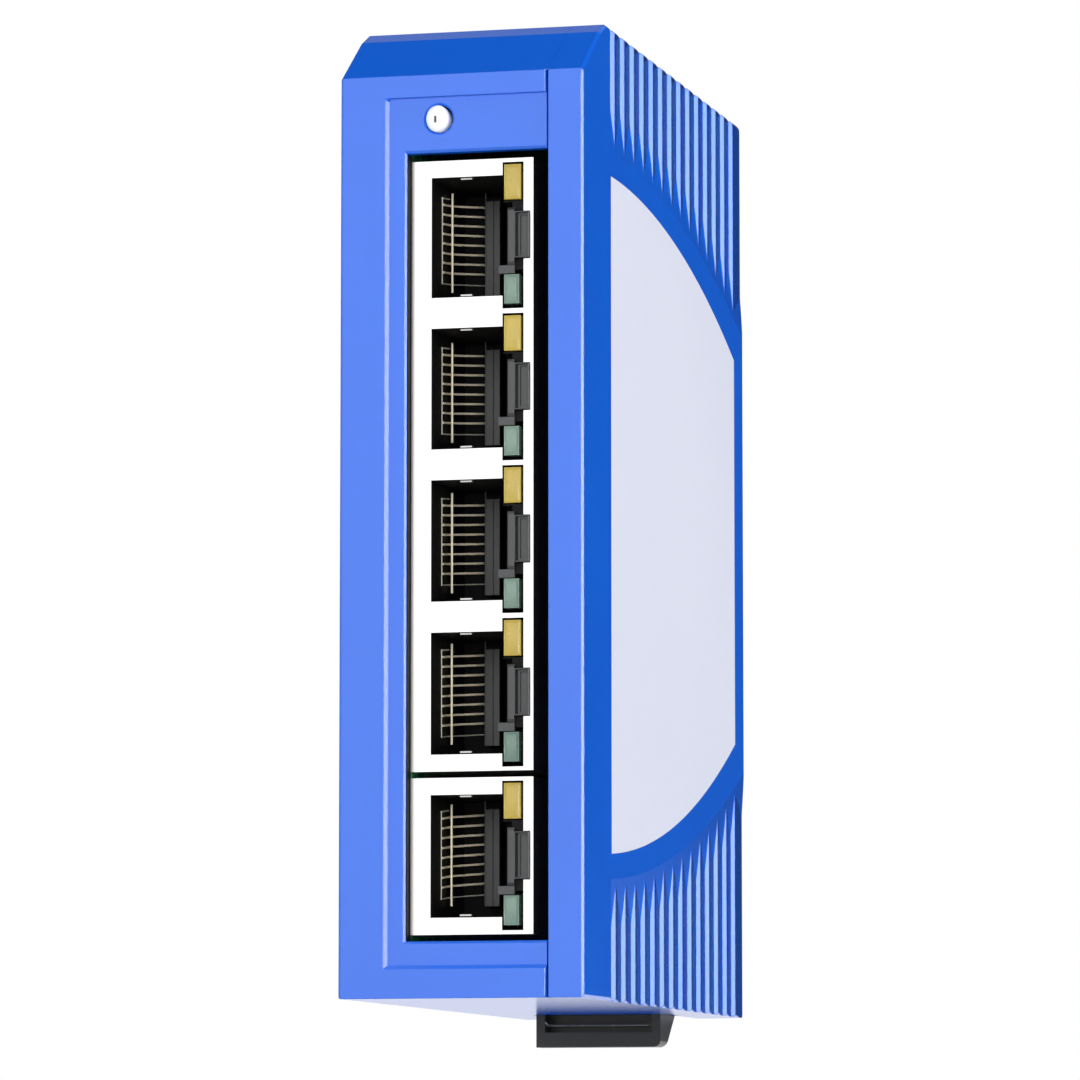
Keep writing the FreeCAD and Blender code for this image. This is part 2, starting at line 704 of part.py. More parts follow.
def port_mask(sketch, port):
    """Opening of one socket: plug cavity, the two lights beside it and the catch notch between them."""
    half = "port_height / 2"
    reach = LIGHT_REACH
    notch_right = f"{PORT_RIGHT} + catch_width + notch_width"
    draw_polygon(sketch, [
        (PORT_LEFT, f"{port} - {half}"),
        (PORT_RIGHT, f"{port} - {half}"),
        (PORT_RIGHT, f"{port} - {reach}"),
        (LIGHT_RIGHT, f"{port} - {reach}"),
        (LIGHT_RIGHT, f"{port} - notch_height / 2"),
        (notch_right, f"{port} - notch_height / 2"),
        (notch_right, f"{port} + notch_height / 2"),
        (LIGHT_RIGHT, f"{port} + notch_height / 2"),
        (LIGHT_RIGHT, f"{port} + {reach}"),
        (PORT_RIGHT, f"{port} + {reach}"),
        (PORT_RIGHT, f"{port} + {half}"),
        (PORT_LEFT, f"{port} + {half}"),
    ])


def make_shield(name, port, count):
    """Folded sheet that wraps a row of sockets, open towards the board."""
    body = new_body(name)
    low = f"({port} - {JACK_MARGIN})"
    high = f"({port} + {JACK_MARGIN} + ({count} - 1) * {PORT_PITCH})"
    back = f"({JACK_FRONT} + jack_depth)"
    box_pad(body, name + "_block", "YZ", BOARD_FACE, (JACK_FRONT, low), (back, high), "jack_rise")
    box_cut(body, name + "_hollow", "YZ", BOARD_FACE,
            (f"{JACK_FRONT} + shield_thickness", f"{low} + shield_thickness"),
            (f"{back} - shield_thickness", f"{high} - shield_thickness"),
            "jack_rise - shield_thickness", along_normal=True)
    mask = new_sketch(body, name + "_mask", "XZ", JACK_FRONT)
    port_mask(mask, port)
    opening = pocket(body, mask, "2 * shield_thickness")
    if count > 1:
        row_of(body, [opening], mask, PORT_PITCH, str(count))
    return keep(body, name)


def make_jack_body(name, port, count):
    """Moulded socket block inside the shield, with its cavities, catch slots and light channels."""
    body = new_body(name)
    face = f"({JACK_FRONT} + shield_thickness)"
    low = f"({port} - {JACK_MARGIN} + shield_thickness)"
    high = f"({port} + {JACK_MARGIN} + ({count} - 1) * {PORT_PITCH} - shield_thickness)"
    box_pad(body, name + "_block", "YZ", BOARD_FACE, (face, low),
            (f"{JACK_FRONT} + jack_depth - shield_thickness", high), "jack_rise - shield_thickness")
    cavity = box_cut(body, name + "_cavity", "XZ", face, (PORT_LEFT, f"{port} - port_height / 2"),
                     (PORT_RIGHT, f"{port} + port_height / 2"), "port_depth")
    catch = box_cut(body, name + "_catch", "XZ", face, (PORT_RIGHT, f"{port} - catch_height / 2"),
                    (f"{PORT_RIGHT} + catch_width", f"{port} + catch_height / 2"), "catch_depth")
    notch_left = f"{PORT_RIGHT} + catch_width"
    notch = box_cut(body, name + "_notch", "XZ", face, (notch_left, f"{port} - notch_height / 2"),
                    (f"{notch_left} + notch_width", f"{port} + notch_height / 2"), "notch_depth")
    features = [cavity, catch, notch]
    for side, sign in (("upper", 1), ("lower", -1)):
        near = f"{port} + {sign} * light_spread"
        far = f"{port} + {sign} * {LIGHT_REACH}"
        features.append(box_cut(body, f"{name}_{side}_light", "XZ", face,
                                (PORT_RIGHT, near), (LIGHT_RIGHT, far), "light_depth"))
    sketch = new_sketch(body, name + "_comb", "XZ", f"{face} + port_depth")
    draw_rectangle(sketch, (f"{PORT_LEFT} + comb_offset", f"{port} + contact_lift - comb_height / 2"),
                   (f"{PORT_LEFT} + comb_offset + comb_width", f"{port} + contact_lift + comb_height / 2"))
    features.append(pad(body, sketch, "comb_depth"))
    lip = new_sketch(body, name + "_lip", "XZ", f"{face} + lip_start + lip_depth")
    draw_rectangle(lip, (PORT_LEFT, f"{port} + contact_lift - lip_length / 2"),
                   (f"{PORT_LEFT} + lip_height", f"{port} + contact_lift + lip_length / 2"))
    features.append(pad(body, lip, "lip_depth"))
    if count > 1:
        row_of(body, features, lip, PORT_PITCH, str(count))
    return keep(body, name)


def make_contacts(name, port):
    """Eight bent contact wires: along the floor of the cavity, up over the lip and back under the comb."""
    body = new_body(name)
    face = f"({JACK_FRONT} + shield_thickness)"
    floor = f"({PORT_LEFT} + contact_gap)"
    bend = f"({face} + contact_bend)"
    end = f"({face} + port_depth - comb_depth)"
    rear = f"({face} + port_depth - contact_gap)"
    first = f"{port} + contact_lift - contact_pitch * (contact_count - 1) / 2 - contact_width / 2"
    profile = new_sketch(body, name + "_profile", "XY", first)
    tip = f"({PORT_LEFT} + comb_offset - contact_gap)"
    draw_polygon(profile, [
        (floor, f"{face} + contact_start"),
        (floor, bend),
        (f"{tip} - contact_thickness", end),
        (f"{tip} - contact_thickness", rear),
        (tip, rear),
        (tip, f"{end} - contact_thickness / 3"),
        (f"{floor} + contact_thickness", f"{bend} - contact_thickness / 3"),
        (f"{floor} + contact_thickness", f"{face} + contact_start"),
    ])
    wire = pad(body, profile, "contact_width")
    doc.recompute()
    pattern = body.newObject("PartDesign::LinearPattern", name + "_row")
    pattern.Originals = [wire]
    pattern.Direction = (profile, ["N_Axis"])
    bind(pattern, "Length", "contact_pitch * (contact_count - 1)")
    bind(pattern, "Occurrences", "contact_count")
    body.Tip = pattern
    return keep(body, name)


def make_port_light(name, port, sign):
    """Moulded light pipe beside a socket, flush with the socket's face."""
    near = "(light_spread + light_clearance)"
    length = f"({LIGHT_REACH} - light_spread - 2 * light_clearance)"
    low = f"{port} + {near}" if sign > 0 else f"{port} - {near} - {length}"
    depth = "light_depth + shield_thickness - light_clearance"
    block = new_box(name, (f"{PORT_RIGHT} + light_clearance", f"{JACK_FRONT} + light_clearance", low),
                    ("light_width - 2 * light_clearance", depth, length))
    return keep(block, name)


# ---------------------------------------------------------------- indicator

def make_indicator():
    """White domed indicator lamp in the front, on a right-angle holder that stands on the board."""
    body = new_body("indicator")
    radius = "(indicator_radius - indicator_clearance)"
    centre = (f"{LEFT} + indicator_left", f"{TOP} - indicator_top")
    stem = new_sketch(body, "indicator_stem", "XZ", f"{FRONT} + front_wall + indicator_radius")
    draw_circle(stem, centre, radius)
    pad(body, stem, f"front_wall + indicator_radius - panel_depth + indicator_radius / 2")
    dome_edge = number(f"{FRONT} + panel_depth - indicator_radius / 2")
    dress(body, "Fillet", f"{radius} * 0.6", lambda edge: edge.BoundBox.YMax < dome_edge + 0.01)
    keep(body, "status_lamp")
    half = "(indicator_radius + lamp_holder_margin)"
    behind = f"{FRONT} + front_wall + indicator_radius"
    holder = new_box("lamp_holder_block", (BOARD_FACE, behind, f"{centre[1]} - {half}"),
                     (f"{centre[0]} + {half} - {BOARD_FACE}", "3 * indicator_radius", f"2 * {half}"))
    return keep(holder, "status_lamp_holder")


# ---------------------------------------------------------------- latch

def make_latch():
    """Sliding foot: a tab below the housing, a windowed slide and a hook behind the lower rail edge."""
    body = new_body("latch")
    back = "(-latch_front + latch_thickness)"
    tip = f"(-{RAIL_EDGE} + hook_bite)"
    outline = new_sketch(body, "latch_profile", "YZ", "0")
    draw_polygon(outline, [
        ("-latch_front", f"{BOTTOM} - latch_drop"),
        ("-latch_front + latch_tip", f"{BOTTOM} - latch_drop"),
        (back, BOTTOM),
        (back, f"{LATCH_TOP} - latch_arm"),
        (f"{HOOK_OUTER} - hook_height / 2", f"{LATCH_TOP} - latch_arm / 2"),
        (HOOK_OUTER, f"{LATCH_TOP} - latch_arm / 3"),
        (HOOK_OUTER, f"{tip} - hook_thickness / 2"),
        (f"{HOOK_OUTER} - hook_thickness / 3", tip),
        (HOOK_INNER, tip),
        (HOOK_INNER, LATCH_TOP),
        ("-latch_front", LATCH_TOP),
    ])
    pad(body, outline, "latch_width", both_ways=True)
    # tongues that run in the grooves of the bay
    middle = f"({back} - latch_thickness / 2)"
    half = "(latch_width / 2 + tongue_width)"
    box_pad(body, "latch_tongues", "XY", f"{BOTTOM} + wall",
            (f"-{half}", f"{middle} - tongue_thickness / 2"), (half, f"{middle} + tongue_thickness / 2"),
            f"{LATCH_TOP} - {BOTTOM} - 2 * wall")
    # window for the peg and the spring
    side = "spring_window_width / 2"
    box_cut(body, "latch_window", "XZ", "-latch_front", (f"-{side}", f"{BOTTOM} + spring_window_bottom"),
            (side, f"{BOTTOM} + spring_window_top"), "2 * latch_thickness")
    # slot for a screwdriver blade, with a ridge across it
    blade = "blade_slot_width / 2"
    box_cut(body, "blade_slot", "XZ", "-latch_front", (f"-{blade}", f"{BOTTOM} - blade_slot_height"),
            (blade, BOTTOM), "blade_slot_depth")
    box_pad(body, "blade_ridge_bar", "XZ", "-latch_front + blade_slot_depth",
            (f"-{blade}", f"{BOTTOM} - 2 * blade_slot_height / 3"),
            (blade, f"{BOTTOM} - 2 * blade_slot_height / 3 + blade_ridge"), "blade_slot_depth - blade_ridge")
    # one rounded lower corner, on the cover's side
    low_edge = number(f"{BOTTOM} - latch_drop")
    dress(body, "Fillet", "latch_drop / 5",
          lambda edge: edge.BoundBox.ZMax < low_edge + 0.01 and edge.BoundBox.XMin > 0)
    return keep(body, "din_latch")


def make_spring():
    """Compression spring between the peg of the housing and the top of the latch window."""
    wire = number("spring_wire")
    low = number(f"{BOTTOM} + spring_window_bottom + latch_stop_gap + peg_height + spring_clearance") + wire
    high = number(f"{BOTTOM} + spring_window_top - spring_clearance") - wire
    depth = number("-latch_front + latch_thickness / 2")
    radius = FreeCAD.Vector(number("spring_radius"), 0, 0)
    steps = round(number("spring_turns * spring_steps"))
    sections = []
    for step in range(steps + 1):
        turn = FreeCAD.Rotation(FreeCAD.Vector(0, 0, 1), 360 * step / number("spring_steps"))
        middle = FreeCAD.Vector(0, depth, low + (high - low) * step / steps)
        ring = []
        for corner in range(6):
            around = FreeCAD.Rotation(FreeCAD.Vector(0, 1, 0), 60 * corner)
            offset = around.multVec(FreeCAD.Vector(wire, 0, 0))
            ring.append(middle + turn.multVec(radius + offset))
        sections.append(Part.makePolygon(ring + ring[:1]))
    coil = doc.addObject("Part::Feature", "spring")
    coil.Shape = Part.makeLoft(sections, True, True)
    return keep(coil, "latch_spring")


# ---------------------------------------------------------------- power header

def make_header():
    """Three-pole pluggable header, its mouth just under the roof."""
    body = new_body("header")
    low = f"({TOP} - wall - header_height)"
    front = f"({FRONT} + header_centre - header_length / 2)"
    back = f"({FRONT} + header_centre + header_length / 2)"
    box_pad(body, "header_block", "XY", low,
            (BOARD_FACE, front), (f"{BOARD_FACE} + header_rise", back), "header_height")
    box_cut(body, "header_cavity", "XY", f"{TOP} - wall",
            (f"{BOARD_FACE} + header_wall", f"{front} + header_wall"),
            (f"{BOARD_FACE} + header_rise - header_wall", f"{back} - header_wall"),
            "header_height - header_floor")
    # coding ribs' slots in the outer wall
    for index in (-1, 0, 1):
        middle = f"({FRONT} + header_centre + {index} * header_pin_pitch)"
        box_cut(body, f"header_slot_{index + 1}", "XY", f"{TOP} - wall",
                (f"{BOARD_FACE} + header_rise - header_wall", f"{middle} - header_wall"),
                (f"{BOARD_FACE} + header_rise", f"{middle} + header_wall"), "header_height / 2")
    for index in (-1, 0, 1):
        middle = f"({FRONT} + header_centre + {index} * header_pin_pitch)"
        box_cut(body, f"header_pin_hole_{index + 1}", "XY", f"{low} + header_floor",
                (f"{BOARD_FACE} + header_rise / 2 - header_pin_size / 2", f"{middle} - header_pin_size / 2"),
                (f"{BOARD_FACE} + header_rise / 2 + header_pin_size / 2", f"{middle} + header_pin_size / 2"),
                "2 * header_floor")
    keep(body, "power_header")
    pins = []
    for index in (-1, 0, 1):
        middle = f"({FRONT} + header_centre + {index} * header_pin_pitch)"
        pin = new_body(f"header_pin_{index + 1}")
        box_pad(pin, f"header_pin_shape_{index + 1}", "XY", f"{low} - header_pin_size",
                (f"{BOARD_FACE} + header_rise / 2 - header_pin_size / 2", f"{middle} - header_pin_size / 2"),
                (f"{BOARD_FACE} + header_rise / 2 + header_pin_size / 2", f"{middle} + header_pin_size / 2"),
                "header_floor + header_pin_length + header_pin_size")
        foot = new_sketch(pin, f"header_pin_foot_{index + 1}", "XZ", f"{middle} + header_pin_size / 2")
        draw_rectangle(foot, (BOARD_FACE, f"{low} - header_pin_size"),
                       (f"{BOARD_FACE} + header_rise / 2", low))
        pad(pin, foot, "header_pin_size")
        pins.append(pin)
    group = doc.addObject("Part::Compound", "header_pins")
    group.Links = pins
    return keep(group, "power_header_pins")


def package(name, place, span, bevel):
    """A moulded package on the board, bevelled round its top."""
    body = new_body(name + "_body")
    (middle, level), (depth, height, rise) = place, span
    box_pad(body, name + "_block", "YZ", BOARD_FACE, (f"{middle} - {depth} / 2", f"{level} - {height} / 2"),
            (f"{middle} + {depth} / 2", f"{level} + {height} / 2"), rise)
    top = number(f"{BOARD_FACE} + {rise}")
    dress(body, "Chamfer", bevel, lambda edge: at_x(edge, top))
    return body


def make_transformers():
    """A line transformer block behind each socket."""
    blocks = []
    middle = f"{JACK_FRONT} + jack_depth + transformer_gap + transformer_depth / 2"
    span = ("transformer_depth", "transformer_height", "transformer_rise")
    for index, port in enumerate(PORTS, 1):
        blocks.append(package(f"transformer_{index}", (middle, port), span, "transformer_bevel"))
    group = doc.addObject("Part::Compound", "transformers")
    group.Links = blocks
    return keep(group, "line_transformers")


def make_board_parts():
    """Switch chip, crystal, and the parts of the power supply."""
    rear = f"({BACK} - wall - board_gap)"
    keep(package("chip", (f"{FRONT} + chip_column", f"{TOP} - switch_chip_drop"),
                 ("switch_chip_side", "switch_chip_side", "switch_chip_rise"), "chip_bevel"), "switch_chip")
    keep(package("crystal", (f"{FRONT} + chip_column", f"{TOP} - crystal_drop"),
                 ("crystal_depth", "crystal_height", "crystal_rise"), "inductor_bevel"), "clock_crystal")
    keep(package("inductor", (f"{rear} - inductor_inset", f"{TOP} - inductor_drop"),
                 ("inductor_side", "inductor_side", "inductor_rise"), "inductor_bevel"), "power_inductor")
    keep(package("regulator", (f"{rear} - regulator_inset", f"{TOP} - regulator_drop"),
                 ("regulator_depth", "regulator_height", "regulator_rise"), "chip_bevel"), "regulator_chip")
    keep(package("fuse", (f"{rear} - fuse_inset", f"{TOP} - input_part_drop"),
                 ("fuse_depth", "fuse_height", "fuse_rise"), "chip_bevel"), "input_fuse")
    keep(package("diode", (f"{rear} - diode_inset", f"{TOP} - input_part_drop"),
                 ("diode_depth", "diode_height", "diode_rise"), "chip_bevel"), "surge_diode")
    body = new_body("capacitor")
    can = new_sketch(body, "capacitor_can", "YZ", BOARD_FACE)
    draw_circle(can, (f"{rear} - capacitor_inset", f"{TOP} - capacitor_drop"), "capacitor_radius")
    pad(body, can, "capacitor_rise")
    top = number(f"{BOARD_FACE} + capacitor_rise")
    dress(body, "Chamfer", "capacitor_bevel", lambda edge: at_x(edge, top))
    keep(body, "bulk_capacitor")


make_shell()
make_cover()
make_label()
make_board()
make_board_screws()
make_shield("quad_jack_shield", QUAD_PORT, 4)
make_jack_body("quad_jack_body", QUAD_PORT, 4)
make_shield("single_jack_shield", SINGLE_PORT, 1)
make_jack_body("single_jack_body", SINGLE_PORT, 1)
for index, port in enumerate(PORTS, 1):
    make_contacts(f"port_{index}_contacts", port)
    make_port_light(f"port_{index}_yellow_light", port, 1)
    make_port_light(f"port_{index}_green_light", port, -1)
make_indicator()
make_latch()
make_spring()
make_header()
make_transformers()
make_board_parts()
doc.recompute()

for thing in doc.Objects:
    if "Invalid" in thing.State or "Error" in thing.State:
        raise RuntimeError(f"{thing.Name} failed: {thing.State}")
for part in parts:
    if part.Shape.isNull() or not part.Shape.isValid() or not part.Shape.Solids:
        raise RuntimeError(f"{part.Label} has no valid solid")

os.makedirs("parts", exist_ok=True)
for part in parts:
    part.Shape.exportStep(f"parts/{part.Label}.step")
    print(f"{part.Label}: {len(part.Shape.Solids)} solids, {part.Shape.Volume:.1f} mm3")
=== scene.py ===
import json
import math

import bmesh
import bpy
from mathutils import Matrix, Vector

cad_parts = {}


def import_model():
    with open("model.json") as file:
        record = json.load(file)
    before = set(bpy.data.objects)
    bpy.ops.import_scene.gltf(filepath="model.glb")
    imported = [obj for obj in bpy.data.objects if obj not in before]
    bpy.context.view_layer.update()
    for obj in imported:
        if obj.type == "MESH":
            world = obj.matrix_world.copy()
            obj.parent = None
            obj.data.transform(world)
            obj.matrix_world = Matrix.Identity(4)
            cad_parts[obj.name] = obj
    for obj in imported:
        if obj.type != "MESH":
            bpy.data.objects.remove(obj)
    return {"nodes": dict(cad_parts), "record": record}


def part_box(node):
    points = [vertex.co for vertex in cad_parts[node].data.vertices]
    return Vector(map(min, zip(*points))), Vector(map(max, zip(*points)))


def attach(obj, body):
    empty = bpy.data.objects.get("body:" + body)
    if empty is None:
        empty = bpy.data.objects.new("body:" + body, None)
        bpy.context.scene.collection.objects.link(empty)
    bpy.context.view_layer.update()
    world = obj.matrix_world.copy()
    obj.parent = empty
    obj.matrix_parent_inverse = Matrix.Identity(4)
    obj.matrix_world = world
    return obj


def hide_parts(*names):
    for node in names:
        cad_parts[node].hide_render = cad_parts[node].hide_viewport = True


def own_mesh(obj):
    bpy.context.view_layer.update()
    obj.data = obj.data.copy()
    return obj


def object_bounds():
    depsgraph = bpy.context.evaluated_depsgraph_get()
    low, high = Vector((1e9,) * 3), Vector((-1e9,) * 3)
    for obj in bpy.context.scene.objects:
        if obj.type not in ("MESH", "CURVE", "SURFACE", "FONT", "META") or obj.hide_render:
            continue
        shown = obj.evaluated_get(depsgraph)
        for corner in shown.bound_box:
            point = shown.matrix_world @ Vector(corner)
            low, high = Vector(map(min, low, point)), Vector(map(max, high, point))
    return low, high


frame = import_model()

CAD_BOX = [list(corner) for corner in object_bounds()]
MM = 0.001

# Places read from the frame, in metres.
CASE_LOW, CASE_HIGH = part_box("housing_shell")
COVER_LOW, COVER_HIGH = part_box("side_cover")
FRONT = CASE_LOW[1]
RIGHT = COVER_HIGH[0]
BOTTOM = COVER_LOW[2]
TOP = COVER_HIGH[2]
SHIELD_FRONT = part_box("quad_jack_shield")[0][1]
BLOCK_FLOOR = 2.15 * MM  # between the board and the cavity of a socket
CAVITY_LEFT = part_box("main_board")[1][0] + BLOCK_FLOOR
PORTS = range(1, 6)  # from the top socket down

# The wires of a socket: how far their row stands above the socket's centre and how far in they
# start, both in millimetres, and how steeply they rise from there.
WIRE_LIFT = 0.55
WIRE_START = 3.9
WIRE_SLOPE = 0.1
WIRE_SIDES = 10

# A face or edge counts as square to an axis from this cosine up, and two points as one within
# this distance.
SQUARE = 0.9
CLOSE = 0.001 * MM

# The white room's strength for plain surfaces, and for gloss in front and behind; then how far
# the floor lies below the part, and how strongly it glows.
ROOM_FILL = 0.2
ROOM_GLOSS_FRONT = 1.0
ROOM_GLOSS_BACK = 0.03
FLOOR_DROP = 35 * MM
FLOOR_GLOW = 0.75

WHITE = (1, 1, 1)
# Each lamp: its azimuth and elevation in degrees, its distance, width and height in metres, its
# power in watts and its tint.
LAMPS = {
    "front_softbox": (-14, 10, 1.1, 0.85, 0.85, 4.6, WHITE),
    "left_fill": (-58, 12, 1.1, 0.6, 0.8, 2.2, (0.8, 1, 0.97)),
    "right_strip": (88, 4, 1.0, 0.38, 0.42, 4.9, (0.9, 1, 1)),
    "edge_strip": (73, 2, 1.0, 0.06, 0.45, 2.1, WHITE),
    "socket_lamp": (24, 4, 1.1, 0.25, 0.3, 3.6, WHITE),
    "top_softbox": (10, 80, 1.0, 0.35, 0.3, 2.5, WHITE),
    "rear_strip": (180, 44, 1.0, 0.8, 0.16, 0.16, WHITE),
}


def socket_level(port):
    """The height of a socket's centre, midway between its two lights."""
    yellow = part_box(f"port_{port}_yellow_light")
    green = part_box(f"port_{port}_green_light")
    return (yellow[0][2] + yellow[1][2] + green[0][2] + green[1][2]) / 4


SOCKETS = {port: socket_level(port) for port in PORTS}


# ---------------------------------------------------------------- shader nodes

def feed(tree, socket, value):
    """Link the socket to another node's output, or give it a plain value."""
    if isinstance(value, bpy.types.NodeSocket):
        tree.links.new(value, socket)
    else:
        socket.default_value = value


def arithmetic(tree, operation, first, second):
    """A sum worked out on two sockets or values."""
    node = tree.nodes.new("ShaderNodeMath")
    node.operation = operation
    feed(tree, node.inputs[0], first)
    feed(tree, node.inputs[1], second)
    return node.outputs["Value"]


def blend(tree, factor, low, high, kind="FLOAT"):
    """Low where the factor is 0 and high where it is 1."""
    node = tree.nodes.new("ShaderNodeMix")
    node.data_type = kind
    for name, value in (("Factor", factor), ("A", low), ("B", high)):
        feed(tree, node.inputs[name], value)
    return node.outputs["Result"]


def remap(tree, value, low, high, start=0.0, end=1.0, curve="LINEAR"):
    """A value between start and end carried over to the range from low to high."""
    node = tree.nodes.new("ShaderNodeMapRange")
    node.interpolation_type = curve
    for name, level in (("From Min", start), ("From Max", end), ("To Min", low), ("To Max", high)):
        node.inputs[name].default_value = level
    feed(tree, node.inputs["Value"], value)
    return node.outputs["Result"]


def split(tree, vector):
    """The three parts of a vector, by the names X, Y and Z."""
    node = tree.nodes.new("ShaderNodeSeparateXYZ")
    feed(tree, node.inputs["Vector"], vector)
    return node.outputs


def noise(tree, place, scale, detail=4.0, stretch=(1, 1, 1)):
    """Noise in object space, stretched by a factor along each axis."""
    mapping = tree.nodes.new("ShaderNodeMapping")
    mapping.inputs["Scale"].default_value = stretch
    feed(tree, mapping.inputs["Vector"], place)
    texture = tree.nodes.new("ShaderNodeTexNoise")
    texture.inputs["Scale"].default_value = scale
    texture.inputs["Detail"].default_value = detail
    feed(tree, texture.inputs["Vector"], mapping.outputs["Vector"])
    return texture.outputs["Fac"]


def ramp(tree, factor, stops):
    """A colour ramp through (place, colour) stops."""
    node = tree.nodes.new("ShaderNodeValToRGB")
    elements = node.color_ramp.elements
    while len(elements) < len(stops):
        elements.new(0.5)
    for element, (place, colour) in zip(elements, stops):
        element.position = place
        element.color = (*colour, 1)
    feed(tree, node.inputs["Fac"], factor)
    return node.outputs["Color"]


def bump(tree, shader, height, strength, distance, normal=None):
    """A fine relief on the surface, or on another normal that is given."""
    node = tree.nodes.new("ShaderNodeBump")
    node.inputs["Strength"].default_value = strength
    node.inputs["Distance"].default_value = distance
    feed(tree, node.inputs["Height"], height)
    if normal:
        feed(tree, node.inputs["Normal"], normal)
    feed(tree, shader.inputs["Normal"], node.outputs["Normal"])


def new_material(name, roughness, metallic=0.0, **sockets):
    """A material with its nodes, its shader and its place in object space at hand."""
    material = bpy.data.materials.new(name)
    material.use_nodes = True
    tree = material.node_tree
    shader = tree.nodes["Principled BSDF"]
    shader.inputs["Roughness"].default_value = roughness
    shader.inputs["Metallic"].default_value = metallic
    for socket, value in sockets.items():
        shader.inputs[socket.replace("_", " ")].default_value = value
    place = tree.nodes.new("ShaderNodeTexCoord")
    return material, tree, shader, place.outputs["Object"]


# ---------------------------------------------------------------- camera, light and floor

def look_back(name, data, centre, azimuth, elevation, distance):
    """A camera or a lamp that stands off from a place on the given side and looks back at it."""
    a, e = math.radians(azimuth), math.radians(elevation)
    away = Vector((math.sin(a) * math.cos(e), -math.cos(a) * math.cos(e), math.sin(e)))
    thing = bpy.data.objects.new(name, data)
    thing.location = centre + away * distance
    thing.rotation_euler = (-away).to_track_quat("-Z", "Y").to_euler()
    bpy.context.scene.collection.objects.link(thing)
    return thing


def add_camera():
    """A long lens, a little to the right of the front and a little below the case."""
    azimuth, elevation, distance = 14.47, -6.12, 627 * MM
    aim_right, aim_up = 21.42 * MM, 46.75 * MM
    data = bpy.data.cameras.new("camera")
    data.lens = 204.1
    data.sensor_width = 36
    aim = Vector((CASE_LOW[0] + aim_right, FRONT, BOTTOM + aim_up))
    bpy.context.scene.camera = look_back("camera", data, aim, azimuth, elevation, distance)


def add_lamps():
    """Soft rectangular lamps that look at the middle of the case."""
    centre = Vector((0, (FRONT + CASE_HIGH[1]) / 2, (BOTTOM + TOP) / 2))
    for name, (azimuth, elevation, distance, width, height, power, tint) in LAMPS.items():
        data = bpy.data.lights.new(name, "AREA")
        data.shape = "RECTANGLE"
        data.size = width
        data.size_y = height
        data.energy = power
        data.color = tint
        look_back(name, data, centre, azimuth, elevation, distance)


def set_world():
    """White to the camera; white in front and dark behind to gloss; a soft fill to the rest."""
    world = bpy.data.worlds.new("studio")
    bpy.context.scene.world = world
    world.use_nodes = True
    tree = world.node_tree
    room = tree.nodes["Background"]
    room.inputs["Color"].default_value = (*WHITE, 1)
    ray = tree.nodes.new("ShaderNodeLightPath").outputs
    direction = split(tree, tree.nodes.new("ShaderNodeTexCoord").outputs["Generated"])
    behind = remap(tree, direction["Y"], ROOM_GLOSS_FRONT, ROOM_GLOSS_BACK, -0.1, 0.45,
                   "SMOOTHSTEP")
    gloss = arithmetic(tree, "MAXIMUM", ray["Is Glossy Ray"], ray["Is Transmission Ray"])
    shiny = blend(tree, gloss, ROOM_FILL, behind)
    feed(tree, room.inputs["Strength"], blend(tree, ray["Is Camera Ray"], shiny, 1.0))


def add_floor():
    """A wide floor well below the case, which hangs on its rail; it glows to camera and gloss."""
    bpy.ops.object.select_all(action="DESELECT")
    bpy.ops.mesh.primitive_plane_add(size=8, location=(0, 0, CAD_BOX[0][2] - FLOOR_DROP))
    floor = bpy.context.object
    floor.name = "floor"
    material, tree, shader, _ = new_material(
        "pale_floor", 0.9, Base_Color=(0.92, 0.92, 0.92, 1), Specular_IOR_Level=0.1,
        Emission_Color=(*WHITE, 1))
    ray = tree.nodes.new("ShaderNodeLightPath").outputs
    seen = arithmetic(tree, "MAXIMUM", ray["Is Camera Ray"], ray["Is Glossy Ray"])
    feed(tree, shader.inputs["Emission Strength"], arithmetic(tree, "MULTIPLY", seen, FLOOR_GLOW))
    floor.data.materials.append(material)


# ---------------------------------------------------------------- materials

def moulded(name, light, dark, roughness, grain, **sockets):
    """Moulded plastic: a faint drift of colour, a fine grain and a roughness that follows it."""
    material, tree, shader, place = new_material(name, roughness, **sockets)
    drift = noise(tree, place, 60)
    feed(tree, shader.inputs["Base Color"], ramp(tree, drift, [(0.3, dark), (0.7, light)]))
    fine = noise(tree, place, grain, detail=2)
    feed(tree, shader.inputs["Roughness"], remap(tree, fine, roughness - 0.05, roughness + 0.07))
    bump(tree, shader, fine, 0.12, 0.03 * MM)
    return material


def sheet_metal(name, colour, shade, roughness, stretch):
    """Rolled or plated metal with fine lines along one axis."""
    material, tree, shader, place = new_material(name, roughness, metallic=1.0)
    lines = noise(tree, place, 900, detail=3, stretch=stretch)
    feed(tree, shader.inputs["Base Color"], ramp(tree, lines, [(0.25, shade), (0.75, colour)]))
    feed(tree, shader.inputs["Roughness"], remap(tree, lines, roughness - 0.06, roughness + 0.08))
    bump(tree, shader, lines, 0.1, 0.01 * MM)
    return material


